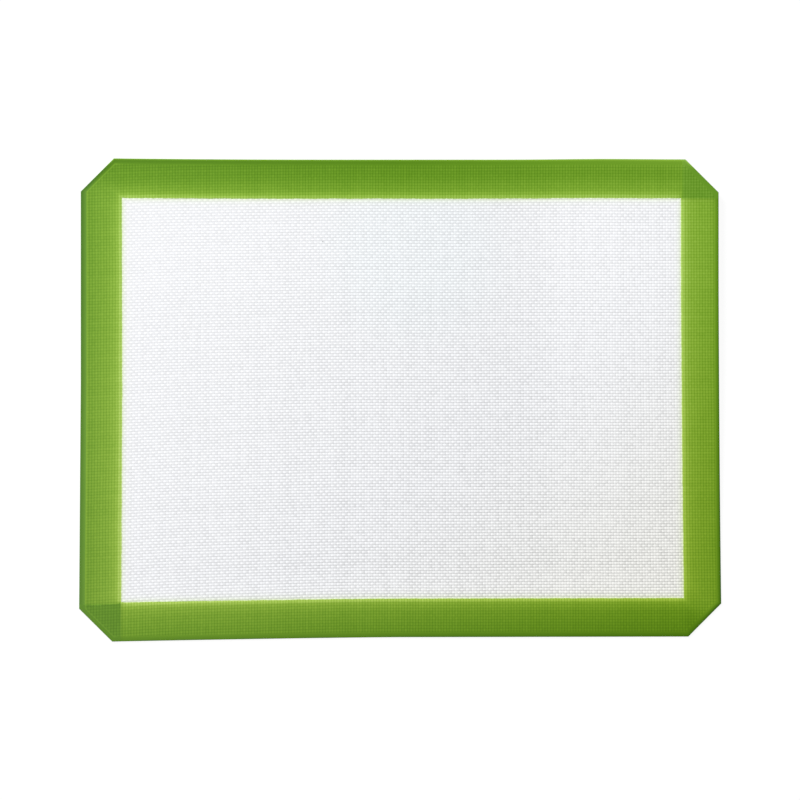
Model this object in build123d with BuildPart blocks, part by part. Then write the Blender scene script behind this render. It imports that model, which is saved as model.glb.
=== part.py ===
from build123d import *

import os
from math import sqrt

# A flat baking mat of silicone on woven glass cloth, lying on its underside.
# Millimetres. +X runs along the long side, +Y to the rear edge and +Z up.
# The origin is at the middle of the underside.

# Outline
mat_length = 400.0
mat_width = 300.0
corner_leg = 20.7  # what each 45 degree cut takes off the long and the short side

# Layers, from the underside up
bottom_coat_thickness = 0.10
bottom_skin_thickness = 0.12
cloth_thickness = 0.30
top_skin_thickness = 0.12
top_coat_thickness = 0.10

# How much wider the coloured border is on each side than the corner cuts, which stay inside it
left_past_cut = 4.7
right_past_cut = 2.2
front_past_cut = 3.1
rear_past_cut = 3.4
lap_foot = 1.0  # how far each lapping corner also lies on the coat that it belongs to

# How far the cloth and its skins stop short of the outline, which the edge seal fills
left_seal = 3.5
right_seal = 2.4
front_seal = 2.6
rear_seal = 3.0
corner_seal = 2.5

# Heights of the layers
bottom_skin_base = bottom_coat_thickness
cloth_base = bottom_skin_base + bottom_skin_thickness
top_skin_base = cloth_base + cloth_thickness
top_coat_base = top_skin_base + top_skin_thickness
lap_base = top_coat_base + top_coat_thickness
core_thickness = bottom_skin_thickness + cloth_thickness + top_skin_thickness

# Places in plan
left_edge = -mat_length / 2
right_edge = mat_length / 2
front_edge = -mat_width / 2
rear_edge = mat_width / 2
field_left = left_edge + corner_leg + left_past_cut
field_right = right_edge - corner_leg - right_past_cut
field_front = front_edge + corner_leg + front_past_cut
field_rear = rear_edge - corner_leg - rear_past_cut
corner_reach = (mat_length / 2 + mat_width / 2 - corner_leg) / sqrt(2)  # from the middle to a cut


def panel(left, right, front, rear):
    """Adds the rectangle between four edges to the open sketch."""
    with Locations(((left + right) / 2, (front + rear) / 2)):
        Rectangle(right - left, rear - front)


def cut_corners(reach):
    """Trims the open sketch to a square turned by 45 degrees, whose sides are the corner cuts."""
    Rectangle(2 * reach, 2 * reach, rotation=45, mode=Mode.INTERSECT)


def mat_outline():
    """The whole mat in plan."""
    panel(left_edge, right_edge, front_edge, rear_edge)
    cut_corners(corner_reach)


def cloth_outline():
    """The cloth in plan, which its two skins share."""
    panel(left_edge + left_seal, right_edge - right_seal, front_edge + front_seal, rear_edge - rear_seal)
    cut_corners(corner_reach - corner_seal)


def rear_left_arms():
    """The rear and left arms of the border, with the two corners where the other coat meets them."""
    panel(left_edge, right_edge, field_rear, rear_edge)
    panel(left_edge, field_left, front_edge, rear_edge)
    cut_corners(corner_reach)


def front_right_arms():
    """The front and right arms of the border, up to the rear and left arms."""
    panel(field_left, right_edge, front_edge, field_front)
    panel(field_right, right_edge, front_edge, field_rear)
    cut_corners(corner_reach)


# Woven cloth that carries the mat
with BuildPart() as glass_cloth:
    with BuildSketch(Plane.XY.offset(cloth_base)):
        cloth_outline()
    extrude(amount=cloth_thickness)

# Clear silicone on both faces of the cloth
with BuildPart() as bottom_silicone_skin:
    with BuildSketch(Plane.XY.offset(bottom_skin_base)):
        cloth_outline()
    extrude(amount=bottom_skin_thickness)

with BuildPart() as top_silicone_skin:
    with BuildSketch(Plane.XY.offset(top_skin_base)):
        cloth_outline()
    extrude(amount=top_skin_thickness)

# Rim of plain silicone round the cut edge of the cloth
with BuildPart() as edge_seal:
    with BuildSketch(Plane.XY.offset(bottom_skin_base)):
        mat_outline()
    extrude(amount=core_thickness)
    with BuildSketch(Plane.XY.offset(bottom_skin_base)):
        cloth_outline()
    extrude(amount=core_thickness, mode=Mode.SUBTRACT)

# Coloured coats under the border, edge to edge in one plane so that the mat lies flat
with BuildPart() as rear_left_bottom_border:
    with BuildSketch(Plane.XY):
        rear_left_arms()
    extrude(amount=bottom_coat_thickness)

with BuildPart() as front_right_bottom_border:
    with BuildSketch(Plane.XY):
        front_right_arms()
    extrude(amount=bottom_coat_thickness)

# Coloured coats on top: the second one laps over the first at two opposite corners
with BuildPart() as rear_left_top_border:
    with BuildSketch(Plane.XY.offset(top_coat_base)):
        rear_left_arms()
    extrude(amount=top_coat_thickness)

with BuildPart() as front_right_top_border:
    with BuildSketch(Plane.XY.offset(top_coat_base)):
        front_right_arms()
    extrude(amount=top_coat_thickness)
    with BuildSketch(Plane.XY.offset(lap_base)):
        panel(left_edge, field_left + lap_foot, front_edge, field_front)
        panel(field_right, right_edge, field_rear - lap_foot, rear_edge)
        cut_corners(corner_reach)
    extrude(amount=top_coat_thickness)

pieces = {
    "glass_cloth": glass_cloth,
    "bottom_silicone_skin": bottom_silicone_skin,
    "top_silicone_skin": top_silicone_skin,
    "edge_seal": edge_seal,
    "rear_left_bottom_border": rear_left_bottom_border,
    "front_right_bottom_border": front_right_bottom_border,
    "rear_left_top_border": rear_left_top_border,
    "front_right_top_border": front_right_top_border,
}

os.makedirs("parts", exist_ok=True)
for name, piece in pieces.items():
    piece.part.label = name
    export_step(piece.part, f"parts/{name}.step")
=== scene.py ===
"""A silicone baking mat, dressed: glass cloth between silicone skins, a green border and a sealed rim."""

import logging
import math
from dataclasses import dataclass
from enum import Enum
from functools import cached_property
from typing import Callable

import bpy
import numpy as np
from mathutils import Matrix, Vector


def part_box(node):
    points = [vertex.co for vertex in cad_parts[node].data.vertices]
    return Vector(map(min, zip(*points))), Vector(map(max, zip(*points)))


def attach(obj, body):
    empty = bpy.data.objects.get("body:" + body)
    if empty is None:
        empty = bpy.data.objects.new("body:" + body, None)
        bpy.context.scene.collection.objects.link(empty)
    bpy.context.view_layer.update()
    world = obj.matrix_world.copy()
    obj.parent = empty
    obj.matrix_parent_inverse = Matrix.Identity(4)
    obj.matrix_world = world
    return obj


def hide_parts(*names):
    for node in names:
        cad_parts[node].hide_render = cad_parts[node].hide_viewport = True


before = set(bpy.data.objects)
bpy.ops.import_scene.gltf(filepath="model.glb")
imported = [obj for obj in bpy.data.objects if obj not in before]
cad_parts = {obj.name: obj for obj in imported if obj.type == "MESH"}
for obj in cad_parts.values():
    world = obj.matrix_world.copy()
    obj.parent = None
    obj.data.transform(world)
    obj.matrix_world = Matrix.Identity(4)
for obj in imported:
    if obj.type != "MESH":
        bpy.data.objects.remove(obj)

MM = 0.001
DIAGONAL = math.sqrt(2)
ROOT = "root"
THREADS = "threads"  # a point's place counted in threads, which sticks to the cloth
PLAN = "plan"  # a point's place on the mat before it is laid down
INNER = "inner"  # whether a point is on a sheet's hidden inner face
FLOAT, VECTOR, COLOUR = "NodeSocketFloat", "NodeSocketVector", "NodeSocketColor"
log = logging.getLogger("baking_mat")
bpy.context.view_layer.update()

Span = tuple[float, float]
Triple = tuple[float, float, float]
Colour = tuple[float, float, float, float]
Places = np.ndarray
Piece = bpy.types.Object
Tree = bpy.types.NodeTree
Node = bpy.types.Node
Socket = bpy.types.NodeSocket
Sockets = bpy.types.bpy_prop_collection
Value = Socket | float | tuple


class Side(Enum):
    """Which face of the mat a piece belongs to; the value is the way that face looks along Z."""

    TOP = 1
    UNDER = -1


class Arms(Enum):
    """Which two arms of the border a coat holds."""

    REAR_LEFT = "rear_left"
    FRONT_RIGHT = "front_right"


class Pick(Enum):
    """What edit mode selects."""

    VERTEX = "VERT"
    EDGE = "EDGE"
    FACE = "FACE"


def smooth_step(share: Places) -> Places:
    """Eases a share from 0 to 1, flat at both ends."""
    held = np.clip(share, 0.0, 1.0)
    return held * held * (3.0 - 2.0 * held)


def grey(level: float) -> Colour:
    """A colour without hue."""
    return level, level, level, 1.0


@dataclass(frozen=True)
class Cut:
    """A straight upright cut: what lies on the normal's side goes."""

    point: Triple
    normal: Triple

    @classmethod
    def at_x(cls, x: float, way: int = 1) -> "Cut":
        """A cut that faces along X."""
        return cls((x, 0, 0), (way, 0, 0))

    @classmethod
    def at_y(cls, y: float, way: int = 1) -> "Cut":
        """A cut that faces along Y."""
        return cls((0, y, 0), (0, way, 0))


@dataclass(frozen=True)
class Rectangle:
    """A rectangle in plan, given by where its sides lie."""

    left: float
    right: float
    front: float
    rear: float

    @property
    def size(self) -> Span:
        """Its size along X and along Y."""
        return self.right - self.left, self.rear - self.front

    @property
    def middle(self) -> Triple:
        """Its middle, at height zero."""
        return (self.left + self.right) / 2, (self.front + self.rear) / 2, 0.0

    def grown(self, by: float) -> "Rectangle":
        """The same rectangle with every side moved out."""
        return Rectangle(self.left - by, self.right + by, self.front - by, self.rear + by)

    def cuts(self) -> list[Cut]:
        """The four cuts that trim a larger sheet to this rectangle."""
        return [Cut.at_x(self.left, -1), Cut.at_x(self.right), Cut.at_y(self.front, -1), Cut.at_y(self.rear)]

    def holds(self, x: Places, y: Places) -> Places:
        """Which points lie inside."""
        return (x > self.left) & (x < self.right) & (y > self.front) & (y < self.rear)

    def gap(self, x: Places, y: Places) -> Places:
        """How far points lie outside the nearest side; negative inside."""
        across = np.maximum(self.left - x, x - self.right)
        return np.maximum(across, np.maximum(self.front - y, y - self.rear))


@dataclass(frozen=True)
class Outline(Rectangle):
    """A rectangle with its four corners cut at 45 degrees.

    Attributes:
        corner: the sum of |x| and |y| along its corner cuts.
    """

    corner: float

    @classmethod
    def of_node(cls, node: str) -> "Outline":
        """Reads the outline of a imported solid.

        Args:
            node: the solid's name.

        Returns:
            Its outline in plan.
        """
        low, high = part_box(node)
        corner = max(abs(v.co.x) + abs(v.co.y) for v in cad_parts[node].data.vertices)
        return cls(low.x, high.x, low.y, high.y, corner)

    def drawn_in(self, by: float) -> "Outline":
        """The same outline with every side moved in by the same distance."""
        box = self.grown(-by)
        return Outline(box.left, box.right, box.front, box.rear, self.corner - by * DIAGONAL)

    def depth(self, x: Places, y: Places) -> Places:
        """How far points lie inside the nearest side; negative outside."""
        return np.minimum(-self.gap(x, y), (self.corner - np.abs(x) - np.abs(y)) / DIAGONAL)

    def area(self) -> float:
        """Its area: the rectangle less the triangles that the corner cuts take.

        Returns:
            The area, in square metres.
        """
        along, across = self.size
        corners = [(x, y) for x in (self.left, self.right) for y in (self.front, self.rear)]
        legs = [abs(x) + abs(y) - self.corner for x, y in corners]
        return along * across - sum(leg * leg / 2 for leg in legs)

    def cuts(self) -> list[Cut]:
        """The eight cuts that trim a larger sheet to this outline."""
        half, ways = self.corner / 2, (-1, 1)
        return super().cuts() + [Cut((i * half, j * half, 0), (i, j, 0)) for i in ways for j in ways]

    def ring(self, steps: int) -> Places:
        """Points all round the outline, the same number on each of its eight sides.

        Args:
            steps: how many points each side has.

        Returns:
            The points' x and y, one row each, anticlockwise.
        """
        front_x, rear_x = self.corner - np.abs([self.front, self.rear])
        left_y, right_y = self.corner - np.abs([self.left, self.right])
        corners = np.array([
            (-front_x, self.front), (front_x, self.front), (self.right, -right_y), (self.right, right_y),
            (rear_x, self.rear), (-rear_x, self.rear), (self.left, left_y), (self.left, -left_y),
        ])
        share = np.arange(steps)[:, None] / steps
        return np.concatenate([a + (b - a) * share for a, b in zip(corners, np.roll(corners, -1, axis=0))])


@dataclass(frozen=True)
class MatPlan:
    """The mat's outlines in plan and the heights of its layers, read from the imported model.

    Attributes:
        mat, cloth: the outlines of the whole mat and of the woven cloth inside it.
        field: the rectangle inside the border.
        under, bottom_skin, cloth_base, cloth_top, skin_top, coat_top, lap_top: heights of the layers'
            faces.
        spread_left, spread_right, spread_front, spread_rear: how far the coats' thin edges have spread in
            over it.
    """

    mat: Outline
    cloth: Outline
    field: Rectangle
    under: float
    bottom_skin: float
    cloth_base: float
    cloth_top: float
    skin_top: float
    coat_top: float
    lap_top: float
    spread_left: float = 0.54 * MM
    spread_right: float = 0.49 * MM
    spread_front: float = 0.38 * MM
    spread_rear: float = 0.34 * MM

    @classmethod
    def from_frame(cls) -> "MatPlan":
        """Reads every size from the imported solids.

        Returns:
            The plan of the mat.
        """
        coat = "front_right_bottom_border"
        low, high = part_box(coat)
        corners = {(v.co.x, v.co.y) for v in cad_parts[coat].data.vertices}
        slack = 0.1 * MM
        inner = [(x, y) for x, y in corners if 0 < x < high.x - slack and low.y + slack < y < high.y - slack]
        field_right, field_front = min(inner)
        return cls(
            mat=Outline.of_node("edge_seal"),
            cloth=Outline.of_node("glass_cloth"),
            field=Rectangle(low.x, field_right, field_front, high.y),
            under=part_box("rear_left_bottom_border")[0].z,
            bottom_skin=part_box("bottom_silicone_skin")[0].z,
            cloth_base=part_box("glass_cloth")[0].z,
            cloth_top=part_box("glass_cloth")[1].z,
            skin_top=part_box("top_silicone_skin")[1].z,
            coat_top=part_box("rear_left_top_border")[1].z,
            lap_top=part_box("front_right_top_border")[1].z,
        )

    def bare(self) -> Rectangle:
        """The rectangle that the coats leave bare.

        Returns:
            The rectangle.
        """
        field = self.field
        left, right = field.left + self.spread_left, field.right - self.spread_right
        return Rectangle(left, right, field.front + self.spread_front, field.rear - self.spread_rear)


@dataclass(frozen=True)
class Weave:
    """The plain weave: one weft thread over, one under, with the drift that coating gave the cloth.

    Attributes:
        warp_pitch, weft_pitch: spacing of the threads along X and along Y.
        bow_from: where the weft threads begin to curve down towards the left end, and left_bow how fast,
            per metre.
        left_spread: how fast the warp threads open up towards the left end, per metre.
        sway: how far the threads wander to either side, and warp_sway_over and weft_sway_over over what
            length.
        weft_crimp, weft_round, warp_crimp, warp_round: how much the threads' waving and their round backs
            each give to the height of the woven face.
    """

    warp_pitch: float = 1.75 * MM
    weft_pitch: float = 1.82 * MM
    bow_from: float = -30 * MM
    left_bow: float = 0.26
    left_spread: float = 0.081
    sway: float = 0.1 * MM
    warp_sway_over: float = 97 * MM
    weft_sway_over: float = 113 * MM
    weft_crimp: float = 0.45
    weft_round: float = 0.55
    warp_crimp: float = 0.42
    warp_round: float = 0.45

    def drift(self, x: Places) -> Places:
        """How far the weft threads have moved along Y at x."""
        past = np.maximum(self.bow_from - x, 0.0)
        return -self.sway * np.sin(2 * math.pi * x / self.weft_sway_over) - 0.5 * self.left_bow * past * past

    def slip(self, y: Places) -> Places:
        """How far the warp threads have moved along X at y."""
        return -self.sway * np.sin(2 * math.pi * y / self.warp_sway_over)

    def counts(self, x: Places, y: Places) -> tuple[Places, Places]:
        """Turns places into thread counts, whole numbers at the crossings.

        Args:
            x, y: places on the mat before it is laid down.

        Returns:
            The warp count and the weft count.
        """
        even = x - self.slip(y)
        spread = np.where(even < 0, self.left_spread, 0.0)
        return (even + spread * even * even) / self.warp_pitch, (y - self.drift(even)) / self.weft_pitch

    def place(self, warp: Places, weft: Places) -> tuple[Places, Places]:
        """Turns thread counts into places, the other way round from counts.

        Args:
            warp, weft: thread counts.

        Returns:
            The x and y of each.
        """
        reach = warp * self.warp_pitch
        root = np.sqrt(np.maximum(1.0 + 4.0 * self.left_spread * np.minimum(reach, 0.0), 0.0))
        even = np.where(reach < 0, (root - 1.0) / (2.0 * self.left_spread), reach)
        y = weft * self.weft_pitch + self.drift(even)
        return even + self.slip(y), y

    def crown(self, x: Places, y: Places) -> Places:
        """Height of the woven face, from 0 in the gaps to 1 on the weft threads' crowns.

        Args:
            x, y: places on the mat before it is laid down.

        Returns:
            The height's share at each point.
        """
        warp, weft = self.counts(x, y)
        near_warp, near_weft = np.round(warp), np.round(weft)
        off_warp, off_weft = warp - near_warp, weft - near_weft
        over = np.cos(math.pi * (near_warp + near_weft))
        weft_wave = self.weft_crimp * np.cos(math.pi * off_warp) * over
        warp_wave = self.warp_crimp * np.cos(math.pi * off_weft) * over
        weft_face = weft_wave + self.weft_round * (1 - 4 * off_weft**2)
        warp_face = self.warp_round * (1 - 4 * off_warp**2) - warp_wave
        return np.maximum(weft_face, warp_face)


@dataclass(frozen=True)
class Lay:
    """How the mat lies: a little out of square, as a handled soft sheet does, and not quite flat.

    Attributes:
        outline: the mat's own outline, square.
        left_in, right_in, front_in, rear_in: how far each side stands along X or Y from its square place.
        left_flare, right_flare, front_drop, rear_rise: how much further each side moves towards its far
            end. It starts at left_from, right_from or rear_from, or in the middle of the front side, and
            takes left_over, right_over, front_over or rear_over. right_power and front_power say how
            suddenly.
        front_slant: how fast the front side climbs towards the right end, per metre.
        rear_hump: how far the rear side swells at hump_at, over hump_width.
        fold_at, fold_radius: where the old fold lies and how round it is.
        fold_rise: how high the mat would rise far past it, and fold_over over what length.
        fold_front, fold_rear: where the rise begins and where it is full, from front to rear.
    """

    outline: Outline
    left_in: float = 0.30 * MM
    left_flare: float = 1.05 * MM
    left_from: float = 10 * MM
    left_over: float = 140 * MM
    right_in: float = -0.62 * MM
    right_flare: float = 1.90 * MM
    right_from: float = 80 * MM
    right_over: float = 210 * MM
    right_power: float = 1.5
    front_in: float = 0.60 * MM
    front_slant: float = 0.0021
    front_drop: float = 3.20 * MM
    front_over: float = 200 * MM
    front_power: float = 1.3
    rear_in: float = -0.50 * MM
    rear_rise: float = 0.80 * MM
    rear_from: float = -40 * MM
    rear_over: float = 140 * MM
    rear_hump: float = 0.35 * MM
    hump_at: float = 125 * MM
    hump_width: float = 35 * MM
    fold_at: float = 88 * MM
    fold_radius: float = 8 * MM
    fold_over: float = 150 * MM
    fold_rise: float = 5.0 * MM
    fold_front: float = -130 * MM
    fold_rear: float = 60 * MM

    def settle(self, places: Places) -> Places:
        """Moves points from the square plan to where they lie.

        Args:
            places: x, y and z of points before the mat is laid down.

        Returns:
            The same points as they lie.
        """
        x, y, z = places.T
        o = self.outline
        left = self.left_in - self.left_flare * np.maximum(self.left_from - y, 0.0) / self.left_over
        right_share = np.maximum(self.right_from - y, 0.0) / self.right_over
        right = self.right_in + self.right_flare * right_share**self.right_power
        front_share = np.maximum(-x, 0.0) / self.front_over
        slanted = self.front_in + self.front_slant * np.maximum(x, 0.0)
        front = slanted - self.front_drop * front_share**self.front_power
        rear_share = np.maximum(self.rear_from - x, 0.0) / self.rear_over
        hump = np.exp(-(((x - self.hump_at) / self.hump_width) ** 2))
        rear = self.rear_in + self.rear_rise * rear_share**2 + self.rear_hump * hump
        across = (x - o.left) / (o.right - o.left)
        along = (y - o.front) / (o.rear - o.front)
        moved_x, moved_y = x + left + (right - left) * across, y + front + (rear - front) * along
        return np.stack([moved_x, moved_y, z + self.lift(x, y)], axis=1)

    def lift(self, x: Places, y: Places) -> Places:
        """How high the mat stands off the table: it rises past an old fold on the right, most at the rear.

        Args:
            x, y: places on the mat before it is laid down.

        Returns:
            The height of each point.
        """
        past = self.fold_radius * np.logaddexp(0.0, (x - self.fold_at) / self.fold_radius)
        share = smooth_step((y - self.fold_front) / (self.fold_rear - self.fold_front))
        return self.fold_rise * (1 - np.exp(-past / self.fold_over)) * share


def choose(piece: Piece) -> None:
    """Makes one piece the only one selected, and active.

    Args:
        piece: the piece.
    """
    bpy.ops.object.select_all(action="DESELECT")
    piece.select_set(True)
    bpy.context.view_layer.objects.active = piece


class Editing:
    """Edit mode on one piece, with nothing selected at the start, or only the chosen edges or faces."""

    def __init__(self, piece: Piece, pick: Pick = Pick.FACE, chosen: Places | None = None) -> None:
        """Notes the piece, what is to be selected, and which of its edges or faces are chosen."""
        self.piece, self.pick, self.chosen = piece, pick, chosen

    def __enter__(self) -> None:
        """Opens edit mode."""
        choose(self.piece)
        bpy.ops.object.mode_set(mode="EDIT")
        bpy.ops.mesh.select_mode(type=self.pick.value)
        bpy.ops.mesh.select_all(action="DESELECT")
        if self.chosen is not None:
            bpy.ops.object.mode_set(mode="OBJECT")
            mesh = self.piece.data
            (mesh.edges if self.pick is Pick.EDGE else mesh.polygons).foreach_set("select", self.chosen)
            bpy.ops.object.mode_set(mode="EDIT")

    def __exit__(self, *_: object) -> None:
        """Closes edit mode."""
        bpy.ops.object.mode_set(mode="OBJECT")


def rows_of(items: Sockets, field: str, width: int, kind: type = float) -> Places:
    """Reads one field of every point, edge or face of a mesh.

    Args:
        items: the points, edges or faces.
        field: what is read.
        width: how many numbers each has.
        kind: what sort of numbers they are.

    Returns:
        The numbers, one row each.
    """
    flat = np.empty(len(items) * width, kind)
    items.foreach_get(field, flat)
    return flat.reshape(-1, width)


def places_of(piece: Piece) -> Places:
    """Reads where a piece's points are, one row each."""
    return rows_of(piece.data.vertices, "co", 3)


def put_places(piece: Piece, places: Places) -> None:
    """Moves a piece's points."""
    piece.data.vertices.foreach_set("co", places.astype(np.float32).ravel())
    piece.data.update()


def keep_vectors(piece: Piece, name: str, values: Places) -> None:
    """Stores one vector on each point, under a name that materials read."""
    layer = piece.data.attributes.new(name, "FLOAT_VECTOR", "POINT")
    layer.data.foreach_set("vector", values.astype(np.float32).ravel())


def add_grid(name: str, columns: int, rows: int) -> Piece:
    """Adds a flat unit grid round the origin.

    Args:
        name: the piece's name.
        columns, rows: how many faces it has each way.

    Returns:
        The grid.
    """
    bpy.ops.object.select_all(action="DESELECT")
    bpy.ops.mesh.primitive_grid_add(x_subdivisions=columns, y_subdivisions=rows, size=1.0)
    grid = bpy.context.active_object
    grid.name = name
    return grid


def select_boundary() -> None:
    """Selects the open edges, in edit mode."""
    bpy.ops.mesh.select_all(action="DESELECT")
    others = {"use_wire": False, "use_multi_face": False, "use_non_contiguous": False, "use_verts": False}
    bpy.ops.mesh.select_non_manifold(extend=False, use_boundary=True, **others)


def cut_along(piece: Piece, cuts: list[Cut], trim: bool) -> None:
    """Runs a line of edges along each cut.

    Args:
        piece: the piece.
        cuts: the cuts.
        trim: whether what lies past each cut goes.
    """
    with Editing(piece):
        for cut in cuts:
            bpy.ops.mesh.select_all(action="SELECT")
            bpy.ops.mesh.bisect(plane_co=cut.point, plane_no=cut.normal, clear_outer=trim)


def drop_inside(piece: Piece, hole: Rectangle) -> None:
    """Deletes the faces whose middles lie inside a rectangle.

    Args:
        piece: the piece.
        hole: the rectangle.
    """
    x, y, _ = rows_of(piece.data.polygons, "center", 3).T
    with Editing(piece, Pick.FACE, hole.holds(x, y)):
        bpy.ops.mesh.delete(type="FACE")


def cut_out(piece: Piece, hole: Rectangle) -> None:
    """Cuts a rectangle out of a flat sheet."""
    cut_along(piece, hole.cuts(), trim=False)
    drop_inside(piece, hole)


def poke_faces(piece: Piece) -> None:
    """Adds a point in the middle of every face.

    Args:
        piece: the piece.
    """
    with Editing(piece):
        bpy.ops.mesh.select_all(action="SELECT")
        bpy.ops.mesh.poke()


def face_outwards(piece: Piece) -> None:
    """Turns all faces of a closed piece outwards.

    Args:
        piece: the piece.
    """
    with Editing(piece):
        bpy.ops.mesh.select_all(action="SELECT")
        bpy.ops.mesh.normals_make_consistent(inside=False)


@dataclass
class SheetTable:
    """The table on which thin sheets are cut and closed.

    Attributes:
        plan: the mat's sizes.
        weave: the cloth's threads.
        lay: how the finished mat lies.
        backing_cell: how far apart the points of a hidden inner face are.
        backing_inset: how far that face stops short of the sheet's outline, where a strip joins the two.
        backing_drop: how far below the sheet it is laid out.
        crease: edges sharper than this angle stay sharp.
    """

    plan: MatPlan
    weave: Weave
    lay: Lay
    backing_cell: float = 9 * MM
    backing_inset: float = 0.4 * MM
    backing_drop: float = 1 * MM
    crease: float = math.radians(35)

    def threads(self, name: str, area: Rectangle, per_thread: int) -> Piece:
        """Lays out a flat sheet whose points follow the threads, placed by thread counts.

        Args:
            name: the piece's name.
            area: what the sheet has to cover, with something to spare.
            per_thread: how many faces it has from one thread to the next.

        Returns:
            The open sheet, at height zero.
        """
        corners_x = np.array([area.left, area.right, area.left, area.right, 0.0])
        corners_y = np.array([area.front, area.front, area.rear, area.rear, area.rear])
        warp, weft = self.weave.counts(corners_x, corners_y)
        lowest = min(weft.min(), area.front / self.weave.weft_pitch)
        low_warp, low_weft = math.floor(warp.min()) - 1, math.floor(lowest) - 1
        columns, rows = math.ceil(warp.max()) + 1 - low_warp, math.ceil(weft.max()) + 1 - low_weft
        sheet = add_grid(name, columns * per_thread, rows * per_thread)
        places = places_of(sheet)
        places[:, 0] = low_warp + (places[:, 0] + 0.5) * columns
        places[:, 1] = low_weft + (places[:, 1] + 0.5) * rows
        put_places(sheet, places)
        return sheet

    def follow_threads(self, sheet: Piece) -> None:
        """Moves a sheet from thread counts to real places."""
        warp, weft, height = places_of(sheet).T
        put_places(sheet, np.column_stack([*self.weave.place(warp, weft), height]))

    def backing(self, name: str, outline: Outline, stops: list[Cut], hole: Rectangle | None) -> Piece:
        """Lays out a plain flat sheet with wide cells, a little smaller all round than the one it backs.

        Args:
            name: the sheet's name.
            outline: the outline of the sheet that it backs.
            stops: further cuts that trim it.
            hole: what is cut out of that sheet.

        Returns:
            The open sheet, marked as an inner face and dropped below the other.
        """
        along, across = outline.size
        sheet = add_grid(name, math.ceil(along / self.backing_cell), math.ceil(across / self.backing_cell))
        put_places(sheet, places_of(sheet) * (along, across, 1.0) + outline.middle)
        cut_along(sheet, outline.drawn_in(self.backing_inset).cuts() + stops, trim=True)
        if hole:
            cut_out(sheet, hole.grown(self.backing_inset))
        put_places(sheet, places_of(sheet) - (0.0, 0.0, self.backing_drop))
        self.mark(sheet, np.ones(len(sheet.data.vertices)))
        return sheet

    def mark(self, sheet: Piece, inner: Places) -> None:
        """Notes which points of a sheet are on its inner face."""
        layer = sheet.data.attributes.new(INNER, "FLOAT", "POINT")
        layer.data.foreach_set("value", inner.astype(np.float32).ravel())

    def close(
        self, sheet: Piece, outline: Outline, stops: list[Cut], hole: Rectangle | None = None
    ) -> Places:
        """Turns an open sheet into a closed thin one with a plain inner face.

        Args:
            sheet: the open outer face.
            outline: its outline.
            stops: further cuts that trim the inner face.
            hole: what is cut out of the sheet.

        Returns:
            For each point of the closed sheet, whether it is on the inner face.
        """
        backing = self.backing(f"{sheet.name}_backing", outline, stops, hole)
        with Editing(sheet, Pick.EDGE):
            select_boundary()
            bpy.ops.mesh.extrude_edges_move(TRANSFORM_OT_translate={"value": (0.0, 0.0, -self.backing_drop)})
        self.mark(sheet, rows_of(sheet.data.vertices, "select", 1, bool))
        choose(sheet)
        backing.select_set(True)
        bpy.ops.object.join()
        with Editing(sheet, Pick.EDGE):
            select_boundary()
            bpy.ops.mesh.fill(use_beauty=True)
        face_outwards(sheet)
        marks = rows_of(sheet.data.attributes[INNER].data, "value", 1, np.float32).ravel()
        sheet.data.attributes.remove(sheet.data.attributes[INNER])
        return marks > 0.5

    def finish(self, piece: Piece, heights: Places) -> None:
        """Gives a piece its heights, notes its places for its material and lays it down.

        Args:
            piece: the closed piece, flat so far.
            heights: the height of each point.
        """
        places = places_of(piece)
        places[:, 2] = heights
        warp, weft = self.weave.counts(places[:, 0], places[:, 1])
        keep_vectors(piece, THREADS, np.column_stack([warp, weft, np.zeros(len(warp))]))
        keep_vectors(piece, PLAN, places)
        put_places(piece, self.lay.settle(places))
        face_outwards(piece)
        choose(piece)
        bpy.ops.object.shade_smooth_by_angle(angle=self.crease)


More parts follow.
